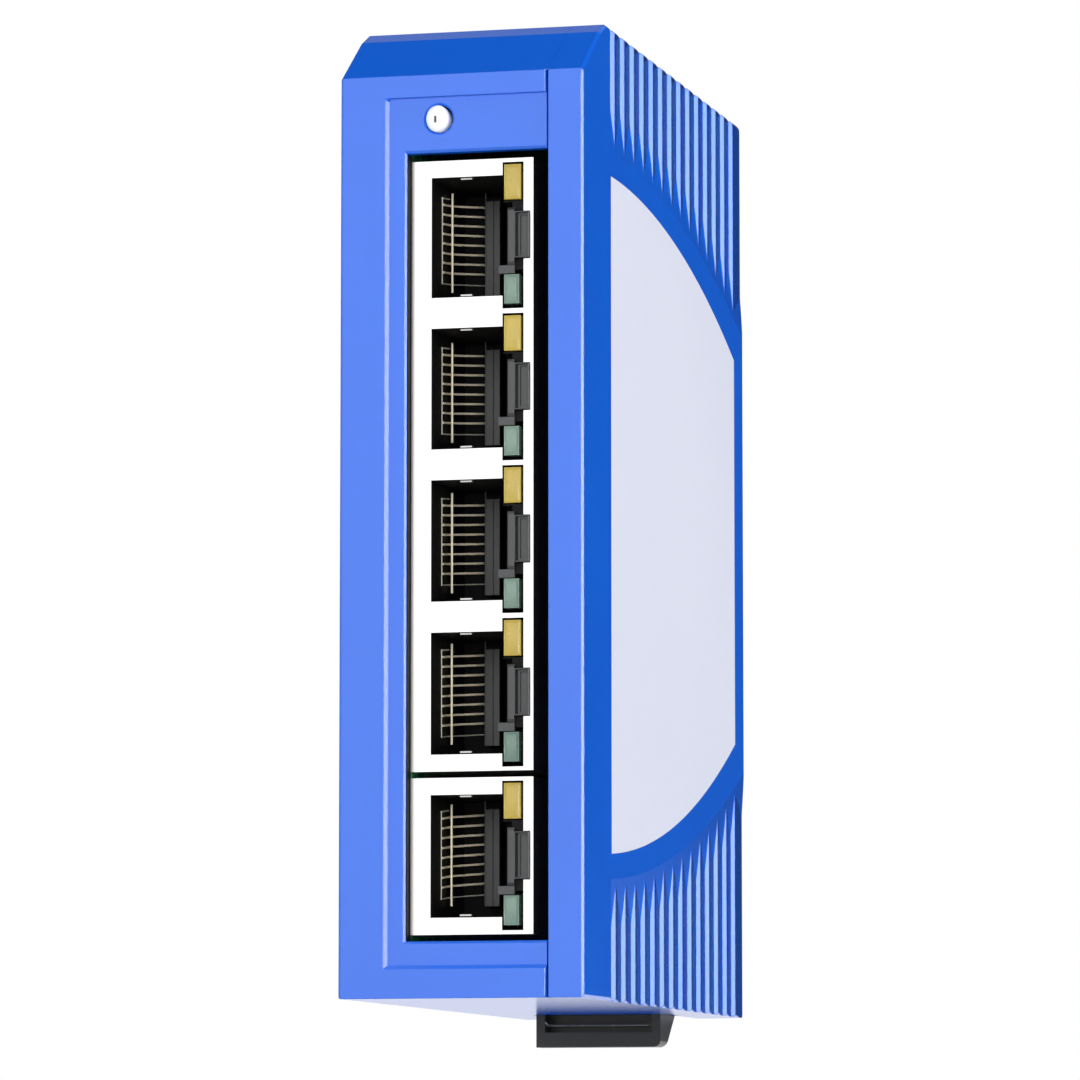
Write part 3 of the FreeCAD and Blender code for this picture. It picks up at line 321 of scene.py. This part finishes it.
def blue_case_plastic():
    """Glossy blue moulding with softened edges; the flutes' long backs get painted shade, a darker
    colour and a weaker reflection.
    """
    material, tree, shader, place = new_material("blue_case_plastic", 0.2)
    surface = tree.nodes.new("ShaderNodeNewGeometry").outputs
    facing = split(tree, surface["True Normal"])
    # Painted shade: on the side faces, faces turned slightly back, such as the flutes' long backs,
    # are marked for a darker colour and a weaker reflection.
    turned_back = remap(tree, facing["Y"], 0.0, 1.0, 0.01, 0.09)
    on_side = arithmetic(tree, "GREATER_THAN", facing["X"], 0.6)
    flute_back_painted_shade = arithmetic(tree, "MULTIPLY", turned_back, on_side)
    plain = ramp(tree, noise(tree, place, 60),
                 [(0.3, (0.001, 0.112, 0.675)), (0.7, (0.0015, 0.122, 0.71))])
    # Painted shade: where marked, the plain blue gives way to a dark blue; below, the reflection is
    # weakened there and the edges are not softened.
    colour = blend(tree, flute_back_painted_shade, plain, (0.001, 0.035, 0.2, 1), "RGBA")
    feed(tree, shader.inputs["Base Color"], colour)
    feed(tree, shader.inputs["Specular IOR Level"], remap(tree, flute_back_painted_shade, 0.5, 0.06))
    fine = noise(tree, place, 1800, detail=2)
    feed(tree, shader.inputs["Roughness"], remap(tree, fine, 0.17, 0.21))
    edges = tree.nodes.new("ShaderNodeBevel")
    edges.samples = 8
    edges.inputs["Radius"].default_value = 0.12 * MM
    softened = blend(tree, flute_back_painted_shade, edges.outputs["Normal"], surface["Normal"], "VECTOR")
    bump(tree, shader, fine, 0.04, 0.006 * MM, softened)
    return material


def label_film():
    """Pale film whose colour drifts very slightly, with a very fine tooth."""
    material, tree, shader, place = new_material("pale_label_film", 0.55)
    drift = noise(tree, place, 18, detail=2)
    colour = ramp(tree, drift, [(0.3, (0.66, 0.655, 0.77)), (0.7, (0.69, 0.685, 0.8))])
    feed(tree, shader.inputs["Base Color"], colour)
    bump(tree, shader, noise(tree, place, 2600, detail=2), 0.05, 0.01 * MM)
    return material


def circuit_laminate():
    """Green lacquer over copper tracks."""
    material, tree, shader, place = new_material("green_circuit_laminate", 0.35)
    cells = tree.nodes.new("ShaderNodeTexVoronoi")
    cells.feature = "DISTANCE_TO_EDGE"
    cells.inputs["Scale"].default_value = 320
    feed(tree, cells.inputs["Vector"], place)
    tracks = cells.outputs["Distance"]
    colour = ramp(tree, tracks, [(0.05, (0.03, 0.28, 0.1)), (0.12, (0.008, 0.11, 0.035))])
    feed(tree, shader.inputs["Base Color"], colour)
    bump(tree, shader, tracks, 0.2, 0.02 * MM)
    return material


def make_materials():
    """Every finish, by the slot or the use that it is for."""
    return {
        "steel": sheet_metal(
            "plated_steel", (0.72, 0.71, 0.69), (0.55, 0.55, 0.54), 0.32, (1, 1, 6)),
        "blue_plastic": blue_case_plastic(),
        "label_film": label_film(),
        "board_laminate": circuit_laminate(),
        "nickel_shield": sheet_metal(
            "nickel_plated_shield", (0.465, 0.46, 0.452), (0.44, 0.435, 0.428), 0.3, (1, 1, 8)),
        "black_socket_plastic": moulded(
            "black_socket_plastic", (0.004, 0.004, 0.004), (0.002, 0.002, 0.002), 0.6, 2400,
            Specular_IOR_Level=0.12),
        "grey_socket_plastic": moulded(
            "grey_socket_plastic", (0.055, 0.056, 0.058), (0.04, 0.041, 0.043), 0.45, 2400),
        "bright_wire": moulded(
            "bright_contact_finish", (0.97, 0.88, 0.68), (0.9, 0.79, 0.58), 0.3, 1500,
            Metallic=0.1),
        "carrier_wire": moulded(
            "carrier_wire_finish", (0.62, 0.6, 0.52), (0.5, 0.48, 0.4), 0.4, 1500, Metallic=0.3),
        # Painted highlight: a pale grey for the ridge in the black latch's slot, standing in for
        # the light along it.
        "ridge_painted_highlight": moulded(
            "pale_ridge_painted_highlight", (0.42, 0.42, 0.42), (0.34, 0.34, 0.34), 0.25, 1500),
        "front_grey_plastic": moulded(
            "front_grey_plastic", (0.034, 0.035, 0.036), (0.024, 0.025, 0.026), 0.42, 2400),
        # Painted shade: a darker copy of the shield's nickel, so that the shield's own tongues read
        # dimmer than its face.
        "shaded_tongue_steel": sheet_metal(
            "shaded_tongue_steel", (0.34, 0.34, 0.33), (0.28, 0.28, 0.27), 0.35, (1, 1, 8)),
        "black_plastic": moulded(
            "black_moulded_plastic", (0.012, 0.0115, 0.011), (0.007, 0.0066, 0.0064), 0.36, 2400,
            Specular_IOR_Level=0.32),
        "gold_contacts": sheet_metal(
            "gold_plated_wire", (0.95, 0.78, 0.42), (0.82, 0.62, 0.3), 0.22, (6, 6, 1)),
        "yellow_lens": moulded(
            "yellow_light_pipe", (0.57, 0.43, 0.075), (0.44, 0.31, 0.045), 0.28, 1200),
        "green_lens": moulded(
            "grey_green_light_pipe", (0.23, 0.33, 0.27), (0.12, 0.19, 0.155), 0.25, 1200),
        "white_lens": moulded(
            "white_lamp_lens", (0.9, 0.9, 0.9), (0.82, 0.82, 0.84), 0.2, 900),
        "green_plastic": moulded(
            "green_header_plastic", (0.02, 0.26, 0.09), (0.015, 0.2, 0.07), 0.4, 2000),
        "aluminium_can": sheet_metal(
            "aluminium_can", (0.86, 0.86, 0.87), (0.74, 0.74, 0.76), 0.28, (8, 1, 1)),
    }


def dress_nodes(materials):
    """Each node of the frame gets the finish of its slot, and the socket blocks a duller black."""
    slots = {row["node"]: row["material_slot"] for row in frame["record"]["subparts"]}
    for name, thing in frame["nodes"].items():
        finish = materials["black_socket_plastic" if name.endswith("jack_body") else slots[name]]
        if not thing.material_slots:
            thing.data.materials.append(finish)
        for slot in thing.material_slots:
            slot.material = finish


# ---------------------------------------------------------------- modelling by hand

def open_mesh(piece, mode="FACE"):
    """Edit mode on one piece, with nothing selected in it."""
    bpy.ops.object.select_all(action="DESELECT")
    piece.select_set(True)
    bpy.context.view_layer.objects.active = piece
    bpy.ops.object.mode_set(mode="EDIT")
    bpy.ops.mesh.select_mode(type=mode)
    bpy.ops.mesh.select_all(action="DESELECT")


def pick(piece, chosen, kind="faces"):
    """Select the faces or edges for which chosen(item) is true, and nothing else."""
    bpy.ops.mesh.select_all(action="DESELECT")
    mesh = bmesh.from_edit_mesh(piece.data)
    for item in getattr(mesh, kind):
        if chosen(item):
            item.select_set(True)
    bmesh.update_edit_mesh(piece.data)


def close_mesh(piece, smooth=30):
    """Back to object mode, with faces outward and edges sharp above an angle."""
    bpy.ops.mesh.select_all(action="SELECT")
    bpy.ops.mesh.remove_doubles(threshold=CLOSE)
    bpy.ops.mesh.normals_make_consistent(inside=False)
    bpy.ops.object.mode_set(mode="OBJECT")
    bpy.ops.object.shade_smooth_by_angle(angle=math.radians(smooth))


def extrude(x, y, z):
    """Draw what is selected out by a step in millimetres."""
    bpy.ops.mesh.extrude_region_move(TRANSFORM_OT_translate={"value": (x * MM, y * MM, z * MM)})


def inset(width):
    bpy.ops.mesh.inset(thickness=width * MM, depth=0)


def bevel(width, segments):
    bpy.ops.mesh.bevel(offset=width * MM, segments=segments, affect="EDGES")


def shift(x, y, z):
    bpy.ops.transform.translate(value=(x * MM, y * MM, z * MM))


def scale_about(centre, x, z):
    """Scale what is selected across the front, about a place."""
    bpy.ops.transform.resize(value=(x, 1, z), center_override=centre)


def settle(name):
    """The new piece gets its name, and its place goes into its mesh."""
    bpy.context.object.name = name
    bpy.ops.object.transform_apply(location=True, rotation=True, scale=True)
    return bpy.context.object


def add_block(name, low, high):
    bpy.ops.object.select_all(action="DESELECT")
    low, high = Vector(low), Vector(high)
    bpy.ops.mesh.primitive_cube_add(size=1, location=(low + high) / 2, scale=high - low)
    return settle(name)


def add_ring(name, radius, place, rotation, fill="NGON"):
    """The round outline of a wire, to be drawn out along its route."""
    bpy.ops.object.select_all(action="DESELECT")
    bpy.ops.mesh.primitive_circle_add(vertices=WIRE_SIDES, radius=radius, fill_type=fill,
                                      location=place, rotation=rotation)
    return settle(name)


def forward(face):
    return face.normal.y < -SQUARE


def upward(face):
    return face.normal.z > SQUARE


def edge_place(edge):
    return (edge.verts[0].co + edge.verts[1].co) / 2


def edge_line(edge):
    return (edge.verts[1].co - edge.verts[0].co).normalized()


def finish_piece(piece, material, body="housing", replaced=()):
    """Its finish, the body that it moves with, and the solids that it stands for."""
    piece.data.materials.clear()
    piece.data.materials.append(MATERIALS[material])
    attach(piece, body)
    if replaced:
        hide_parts(*replaced)


def copy_to_sockets(piece, stem, material, node=""):
    """The piece of the top socket, finished, and a copy with its own mesh at each socket below."""
    made = [piece]
    for port in PORTS[1:]:
        copy = piece.copy()
        copy.data = piece.data.copy()
        copy.data.transform(Matrix.Translation((0, 0, SOCKETS[port] - SOCKETS[1])))
        bpy.context.scene.collection.objects.link(copy)
        made.append(copy)
    for port, thing in zip(PORTS, made):
        thing.name = f"port_{port}_{stem}"
        finish_piece(thing, material, replaced=(f"port_{port}_{node}",) if node else ())


# ---------------------------------------------------------------- sockets
# Their pieces are modelled in the top socket and copied to the four below. All steps and places
# in them are in millimetres.

def in_socket(x, y, z):
    """A place in the top socket: x from the cavity's left wall, y in from the shield, z up."""
    return Vector((CAVITY_LEFT + x * MM, SHIELD_FRONT + y * MM, SOCKETS[1] + z * MM))


def slice_at(*places):
    """Cut edge loops all round the piece at places along x."""
    for place in places:
        bpy.ops.mesh.select_all(action="SELECT")
        bpy.ops.mesh.bisect(plane_co=in_socket(place, 0, 0), plane_no=(1, 0, 0),
                            threshold=CLOSE)


def before(edge, depth):
    """Whether the whole edge lies in front of a depth."""
    return max(vertex.co.y for vertex in edge.verts) < in_socket(0, depth, 0).y


def make_light(colour, top, bottom, drawn_in, glint):
    """A light pipe from bottom to top of its middle, its right side drawn in by a little.

    Its rim is bevelled, and a slightly raised lens sits sunk in its face, shifted by glint.
    """
    rim, sunk, margin, raised, rounding = 0.16, 0.14, 0.22, 0.1, 0.07
    low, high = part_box(f"port_1_{colour}_light")
    middle = (low[2] + high[2]) / 2
    pipe = add_block(f"{colour}_pipe", (low[0], low[1], middle + bottom * MM),
                     (high[0] - drawn_in * MM, high[1], middle + top * MM))
    open_mesh(pipe)
    pick(pipe, forward)
    inset(rim)
    shift(0, sunk, 0)
    inset(margin)
    shift(glint, -raised, 0)
    pick(pipe, lambda edge: edge_place(edge).y < low[1] + 0.02 * MM, "edges")
    bevel(rounding, 2)
    close_mesh(pipe)
    return pipe


def draw_wire(name, route, radius):
    """A round wire through places of the top socket, its two ends closed."""
    start = Vector(route[1]) - Vector(route[0])
    turn = (math.pi / 2, 0, 0) if abs(start.y) > abs(start.z) else (0, 0, 0)
    wire = add_ring(name, radius * MM, in_socket(*route[0]), turn)
    open_mesh(wire)
    bpy.ops.mesh.select_all(action="SELECT")
    for place, following in zip(route, route[1:]):
        extrude(*(Vector(following) - Vector(place)))
    close_mesh(wire, 60)
    return wire


def rising(level, run):
    """A route into the socket through (x, y) places, from a level and rising as the wires do."""
    return [(x, y, level + WIRE_SLOPE * (y - WIRE_START)) for x, y in run]


def make_contacts():
    """Eight round wires along the left wall that turn away from it behind the bar, to the comb."""
    count, spacing, radius = 8, 1.02, 0.12
    lowest = WIRE_LIFT - (count - 1) / 2 * spacing
    run = [(0.18, WIRE_START), (0.2, 5.4), (0.32, 7.0), (0.75, 8.2), (1.6, 9.7), (2.5, 11.15),
           (2.52, 12.8)]
    wire = draw_wire("wires", rising(lowest, run), radius)
    row = wire.modifiers.new("row", "ARRAY")
    row.count = count
    row.use_relative_offset = False
    row.use_constant_offset = True
    row.constant_offset_displace = (0, 0, spacing * MM)
    bpy.ops.object.modifier_apply(modifier="row")
    return wire


def make_contact_bar():
    """The bright bar across the wires, its upper end turned back."""
    foot, head, rounding = WIRE_LIFT - 5.35, WIRE_LIFT + 5.15, 0.06
    bar = add_block("bar", in_socket(0.3, 6.55, foot), in_socket(0.52, 6.8, head))
    open_mesh(bar, "EDGE")
    pick(bar, lambda edge: abs(edge_line(edge).z) > SQUARE, "edges")
    bevel(rounding, 2)
    bpy.ops.mesh.select_mode(type="FACE")
    pick(bar, upward)
    extrude(-0.12, 0.5, 0.1)
    close_mesh(bar, 40)
    return bar


def make_carrier():
    """The thin carrier of the wires: an upright at their front ends, a long foot, a short head."""
    foot_level, head_level, thin, thick = WIRE_LIFT - 4.75, WIRE_LIFT + 4.28, 0.07, 0.09
    upright = draw_wire("carrier", [(0.1, 3.8, foot_level), (0.1, 3.8, WIRE_LIFT + 4.3)], thin)
    foot = draw_wire("foot", rising(foot_level, [(0.1, 3.75), (0.2, 6.9), (1.6, 9.7), (2.6, 11.4)]),
                     thin)
    head = draw_wire("head", rising(head_level, [(0.1, 3.75), (0.12, 6.5)]), thick)
    bpy.ops.object.select_all(action="DESELECT")
    for part in (foot, head, upright):
        part.select_set(True)
    bpy.context.view_layer.objects.active = upright
    bpy.ops.object.join()
    return upright


def make_comb():
    """The face that keeps the wires apart: a groove down it, and a thin rail that stands above."""
    groove_left, groove_right, rail_right = 3.7, 3.82, 2.96
    groove_depth, rail_rise, rail_reach = 0.2, 1.1, 0.1
    comb = add_block("comb", in_socket(2.86, 10.9, WIRE_LIFT - 5.2),
                     in_socket(4.42, 11.24, WIRE_LIFT + 4.9))
    open_mesh(comb)
    slice_at(groove_left, groove_right, rail_right)
    left, right, rail = [in_socket(x, 0, 0).x for x in (groove_left, groove_right, rail_right)]
    pick(comb, lambda face: forward(face) and left < face.calc_center_median().x < right)
    extrude(0, groove_depth, 0)
    pick(comb, lambda face: upward(face) and face.calc_center_median().x < rail)
    extrude(0, 0, rail_rise)
    pick(comb, lambda face: forward(face) and face.calc_center_median().x < rail)
    extrude(0, -rail_reach, 0)
    close_mesh(comb)
    return comb


def make_catch_guard():
    """The channel beside the plug's catch: a wide left cheek, a stepped floor, a thin right lip."""
    front, lip, step = -0.38, 0.13, 0.2
    guard = add_block("guard", in_socket(8.93, front, -2.42), in_socket(10.5, 1.4, 2.42))
    open_mesh(guard)
    pick(guard, forward)
    inset(lip)
    extrude(0, 0.5, 0)
    scale_about(in_socket(10.5 - lip, 0, 0), 0.86, 1)
    inset(step)
    extrude(0, 0.22, 0)
    pick(guard, lambda edge: before(edge, front + 0.01), "edges")
    bevel(0.05, 2)
    close_mesh(guard)
    return guard


def make_catch_cheek():
    """The cheek between the catch slot and the channel, its front drawn out a little smaller."""
    cheek = add_block("cheek", in_socket(8.14, 0.02, -3.1), in_socket(8.92, 4.0, 2.85))
    open_mesh(cheek)
    pick(cheek, forward)
    extrude(0.03, -0.3, 0)
    scale_about(in_socket(8.8, 0, -0.1), 0.9, 0.9)
    pick(cheek, lambda edge: abs(edge_line(edge).z) > SQUARE and before(edge, 0), "edges")
    bevel(0.05, 2)
    close_mesh(cheek)
    return cheek


def make_slot_rim():
    """The deep sill below the catch slot, its front edges bevelled."""
    front = 0.05
    sill = add_block("sill", in_socket(7.12, front, -4.0), in_socket(8.9, 0.6, -3.12))
    open_mesh(sill)
    pick(sill, lambda edge: before(edge, front + 0.01), "edges")
    bevel(0.03, 1)
    close_mesh(sill)
    return sill


def make_tongue(up, reach):
    """A sprung tongue of the shield: a low lip that curls back at the mouth of the cavity.

    It's the upper one where up is 1 and the lower one where it's -1; reach is its edge's distance
    from the socket's centre.
    """
    left, right, thickness = 2.9, 4.3, 0.16
    levels = sorted((reach * up, (reach - thickness) * up))
    tongue = add_block("tongue", in_socket(left, 0.5, levels[0]), in_socket(right, 0.62, levels[1]))
    middle = in_socket((left + right) / 2, 0, 0)
    open_mesh(tongue)
    pick(tongue, lambda face: face.normal.y > SQUARE)
    for run, rise in ((0.2, 0.06), (0.3, 0.12)):
        extrude(0, run, rise * up)
    scale_about(middle, 0.8, 1)
    pick(tongue, forward)
    scale_about(middle, 0.86, 1)
    close_mesh(tongue, 40)
    return tongue


def make_sockets():
    """Everything that is dressed inside the five sockets."""
    copy_to_sockets(make_light("yellow", 1.82, -1.86, 0.2, 0),
                    "yellow_pipe", "yellow_lens", "yellow_light")
    copy_to_sockets(make_light("green", 1.55, -1.5, 0.38, 0.08),
                    "green_pipe", "green_lens", "green_light")
    copy_to_sockets(make_contacts(), "contact_wires", "bright_wire", "contacts")
    copy_to_sockets(make_contact_bar(), "contact_bar", "bright_wire")
    copy_to_sockets(make_carrier(), "wire_carrier", "carrier_wire")
    copy_to_sockets(make_comb(), "wire_comb", "grey_socket_plastic")
    copy_to_sockets(make_catch_guard(), "catch_guard", "front_grey_plastic")
    copy_to_sockets(make_catch_cheek(), "catch_cheek", "front_grey_plastic")
    copy_to_sockets(make_slot_rim(), "catch_slot_rim", "front_grey_plastic")
    # The tongues take the darker, painted-shade copy of the shield's metal.
    copy_to_sockets(make_tongue(1, 6.24), "upper_tongue", "shaded_tongue_steel")
    copy_to_sockets(make_tongue(-1, 6.12), "lower_tongue", "shaded_tongue_steel")


# ---------------------------------------------------------------- lamp, painted shade sheets, ridge with painted highlight, and spring

def make_status_lamp():
    """A slightly oval lens with a crowned face, and the lamp's dark element just under it."""
    oval, aside, crown = 0.86, 0.12 * MM, 0.5 * MM
    low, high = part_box("status_lamp")
    middle = (low + high) / 2
    centre = middle[0] - aside
    bpy.ops.object.select_all(action="DESELECT")
    bpy.ops.mesh.primitive_cylinder_add(
        vertices=48, radius=(high[0] - low[0]) / 2, depth=high[1] - low[1] - crown,
        location=(centre, middle[1] + crown / 2, middle[2]), rotation=(math.pi / 2, 0, 0))
    bpy.ops.transform.resize(value=(oval, 1, 1))
    lens = settle("status_lamp_lens")
    open_mesh(lens)
    pick(lens, forward)
    for size, step in ((0.94, 0.12), (0.86, 0.14), (0.74, 0.11), (0.55, 0.07), (0.3, 0.02)):
        extrude(0, -step, 0)
        scale_about((centre, 0, middle[2]), size, size)
    close_mesh(lens, 50)
    finish_piece(lens, "white_lens", replaced=("status_lamp",))
    front = low[1]
    mark = add_block("status_lamp_element",
                     (middle[0] - 0.33 * MM, front + 0.005 * MM, middle[2] - 0.5 * MM),
                     (middle[0] - 0.09 * MM, front + 0.3 * MM, middle[2] + 0.22 * MM))
    open_mesh(mark, "EDGE")
    pick(mark, lambda edge: abs(edge_line(edge).y) > SQUARE, "edges")
    bevel(0.09, 3)
    close_mesh(mark)
    finish_piece(mark, "grey_socket_plastic")


def make_window_shade_sheet():
    """Black sheets of painted shade with a hem round them: on the cover's wall beside the sockets,
    and opposite, where these walls only lie in shade.
    """
    hem, sunk = 0.3, 0.03
    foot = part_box("single_jack_shield")[0][2] - 2 * MM
    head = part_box("quad_jack_shield")[1][2] + 2 * MM
    cover_wall = RIGHT - 1.8 * MM
    window_wall = CASE_LOW[0] + 7.05 * MM
    # Painted shade: these black sheets darken walls beside the sockets that only lie in shade.
    for name, low, high, out in (
            ("cover_shade_sheet", (cover_wall - 0.25 * MM, SHIELD_FRONT - 0.05 * MM, foot),
             (cover_wall - 0.02 * MM, SHIELD_FRONT + 16 * MM, head), -1),
            ("window_shade_sheet", (window_wall + 0.01 * MM, FRONT + 0.72 * MM, foot + 1.4 * MM),
             (window_wall + 0.09 * MM, SHIELD_FRONT + 2 * MM, head - 1.4 * MM), 1)):
        shade_sheet = add_block(name, low, high)
        open_mesh(shade_sheet)
        pick(shade_sheet, lambda face: face.normal.x * out > SQUARE)
        inset(hem)
        extrude(-sunk * out, 0, 0)
        close_mesh(shade_sheet)
        finish_piece(shade_sheet, "black_socket_plastic")


def make_latch_ridge():
    """A glossy rounded ridge across the latch's blade slot, its left end turned up; its pale grey
    is a painted highlight on the black latch.
    """
    slot_left, slot_front, slot_level = -5.95 * MM, -18.1 * MM, BOTTOM - 1.2 * MM
    start = (slot_left - 0.1 * MM, slot_front + 0.2 * MM, slot_level + 0.42 * MM)
    ridge = add_ring("latch_slot_ridge", 0.15 * MM, start, (0, 0.3, 0))
    open_mesh(ridge)
    bpy.ops.mesh.select_all(action="SELECT")
    for run, drop in ((0.1, 0.22), (0.2, 0.14), (0.4, 0.06), (11.0, 0.0)):
        extrude(run, 0, -drop)
    close_mesh(ridge, 60)
    finish_piece(ridge, "ridge_painted_highlight", body="latch")


def make_spring():
    """The latch spring: a round wire coiled seven times, with a face on each end of the wire."""
    turns, steps, wire = 7, 28, 0.28 * MM
    low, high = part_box("latch_spring")
    middle = (low + high) / 2
    radius = (high[0] - low[0]) / 2 - wire
    spring = add_ring("latch_coil_spring", wire, (middle[0] + radius, middle[1], low[2] + wire),
                      (math.pi / 2, 0, 0), fill="NOTHING")
    coil = spring.modifiers.new("coil", "SCREW")
    axis = bpy.data.objects.new("coil_axis", None)
    axis.location = (middle[0], middle[1], 0)
    bpy.context.scene.collection.objects.link(axis)
    coil.object = axis
    coil.angle = math.tau
    coil.iterations = turns
    coil.screw_offset = (high[2] - low[2] - 2 * wire) / turns
    coil.steps = steps
    coil.render_steps = steps
    coil.use_normal_calculate = True
    coil.use_merge_vertices = False
    bpy.context.view_layer.update()
    bpy.ops.object.modifier_apply(modifier="coil")
    bpy.data.objects.remove(axis)
    open_mesh(spring, "EDGE")
    pick(spring, lambda edge: edge.is_boundary, "edges")
    bpy.ops.mesh.edge_face_add()
    close_mesh(spring, 60)
    finish_piece(spring, "steel", replaced=("latch_spring",))
    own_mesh(spring)


add_camera()
set_world()
add_lamps()
add_floor()
MATERIALS = make_materials()
dress_nodes(MATERIALS)
make_sockets()
make_status_lamp()
make_window_shade_sheet()
make_latch_ridge()
make_spring()

bpy.context.scene.view_settings.view_transform = "Standard"
